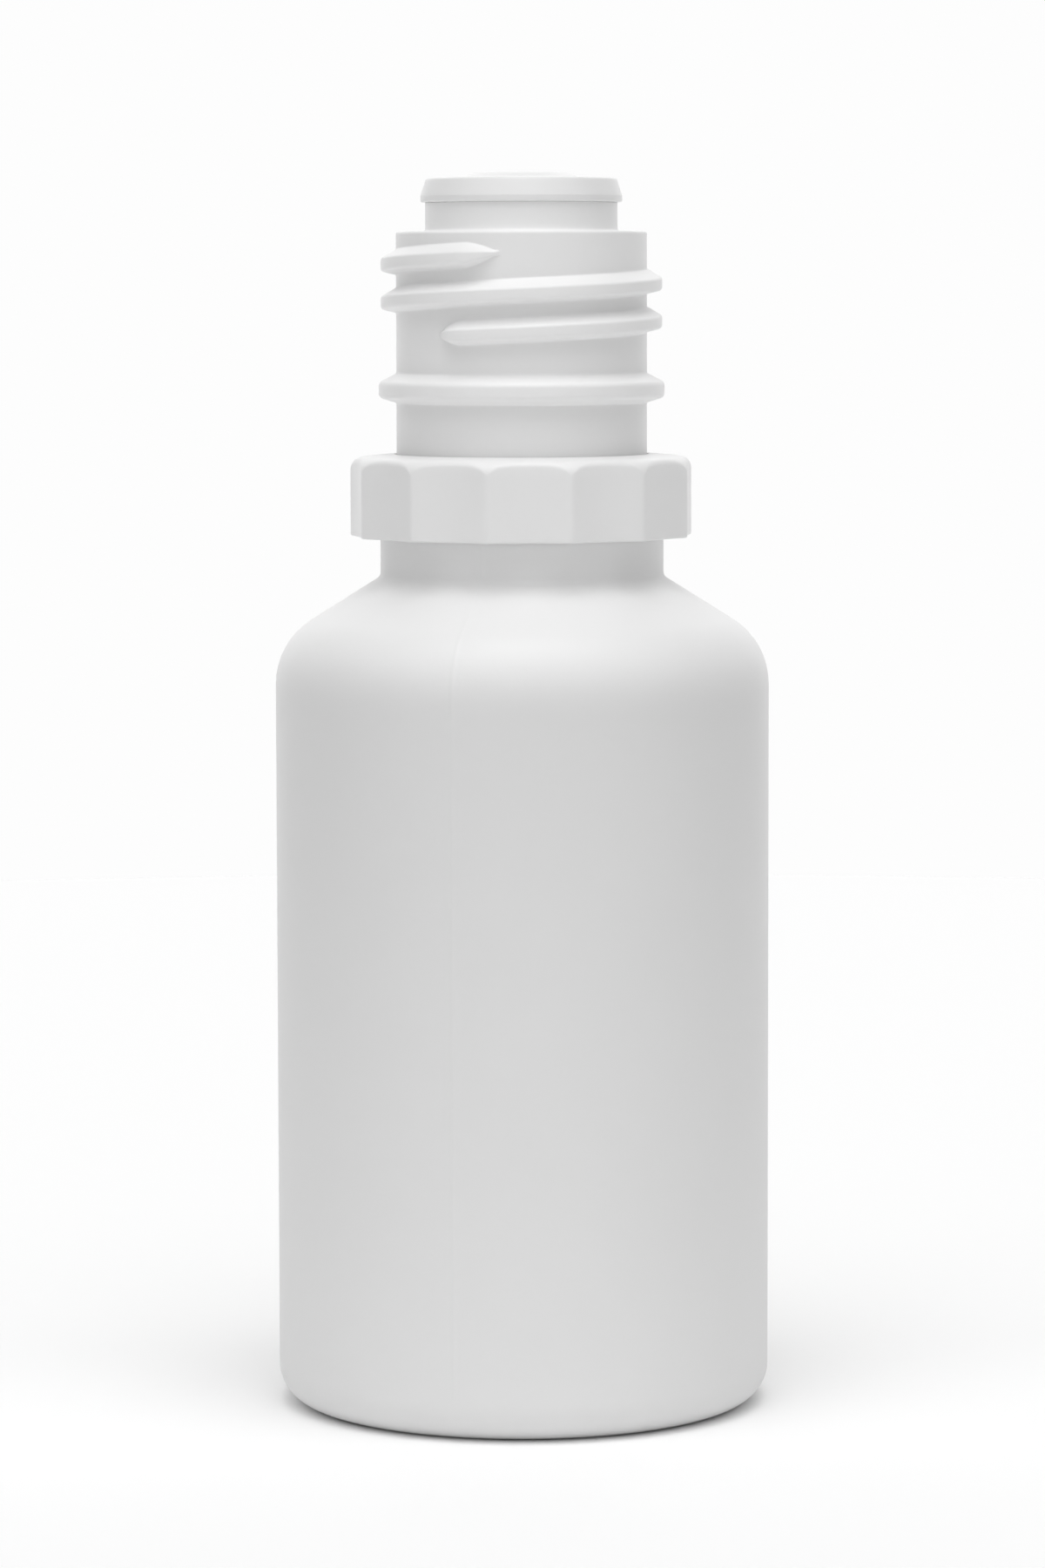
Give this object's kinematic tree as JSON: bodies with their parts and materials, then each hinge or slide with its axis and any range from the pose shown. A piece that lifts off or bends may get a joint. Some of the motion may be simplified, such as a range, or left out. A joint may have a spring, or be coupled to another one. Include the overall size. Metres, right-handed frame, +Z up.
{
  "type": "dropper bottle",
  "caption": "Small white squeeze dropper bottle with a push-in dropper insert, a right-hand threaded neck and a fluted tamper-evident ring left loose under the bead.",
  "frame": {"origin": "on the bottle's axis, in the plane of the foot that it stands on", "axes": "+Z up along the bottle's axis; the front, with the thread's two ends left of its middle, faces -Y; +X is to the right seen from the front"},
  "size_m": [0.025, 0.025, 0.0625],
  "materials": {
    "bottle_plastic": "white blow-moulded polyethylene, soft satin",
    "insert_plastic": "white injection-moulded polyethylene, satin",
    "ring_plastic": "white injection-moulded polypropylene, satin"
  },
  "bodies": {
    "bottle": {"bottle": "bottle_plastic"},
    "insert": {"dropper_insert": "insert_plastic"},
    "ring": {"tamper_ring": "ring_plastic"}
  },
  "joints": [
    {"name": "insert_lift", "type": "slide", "parent": "bottle", "child": "insert", "axis": [0, 0, 1], "range_m": [0, 0.012]},
    {"name": "ring_slide", "type": "slide", "parent": "bottle", "child": "ring", "axis": [0, 0, 1], "range_m": [0, 0.00255]}
  ]
}
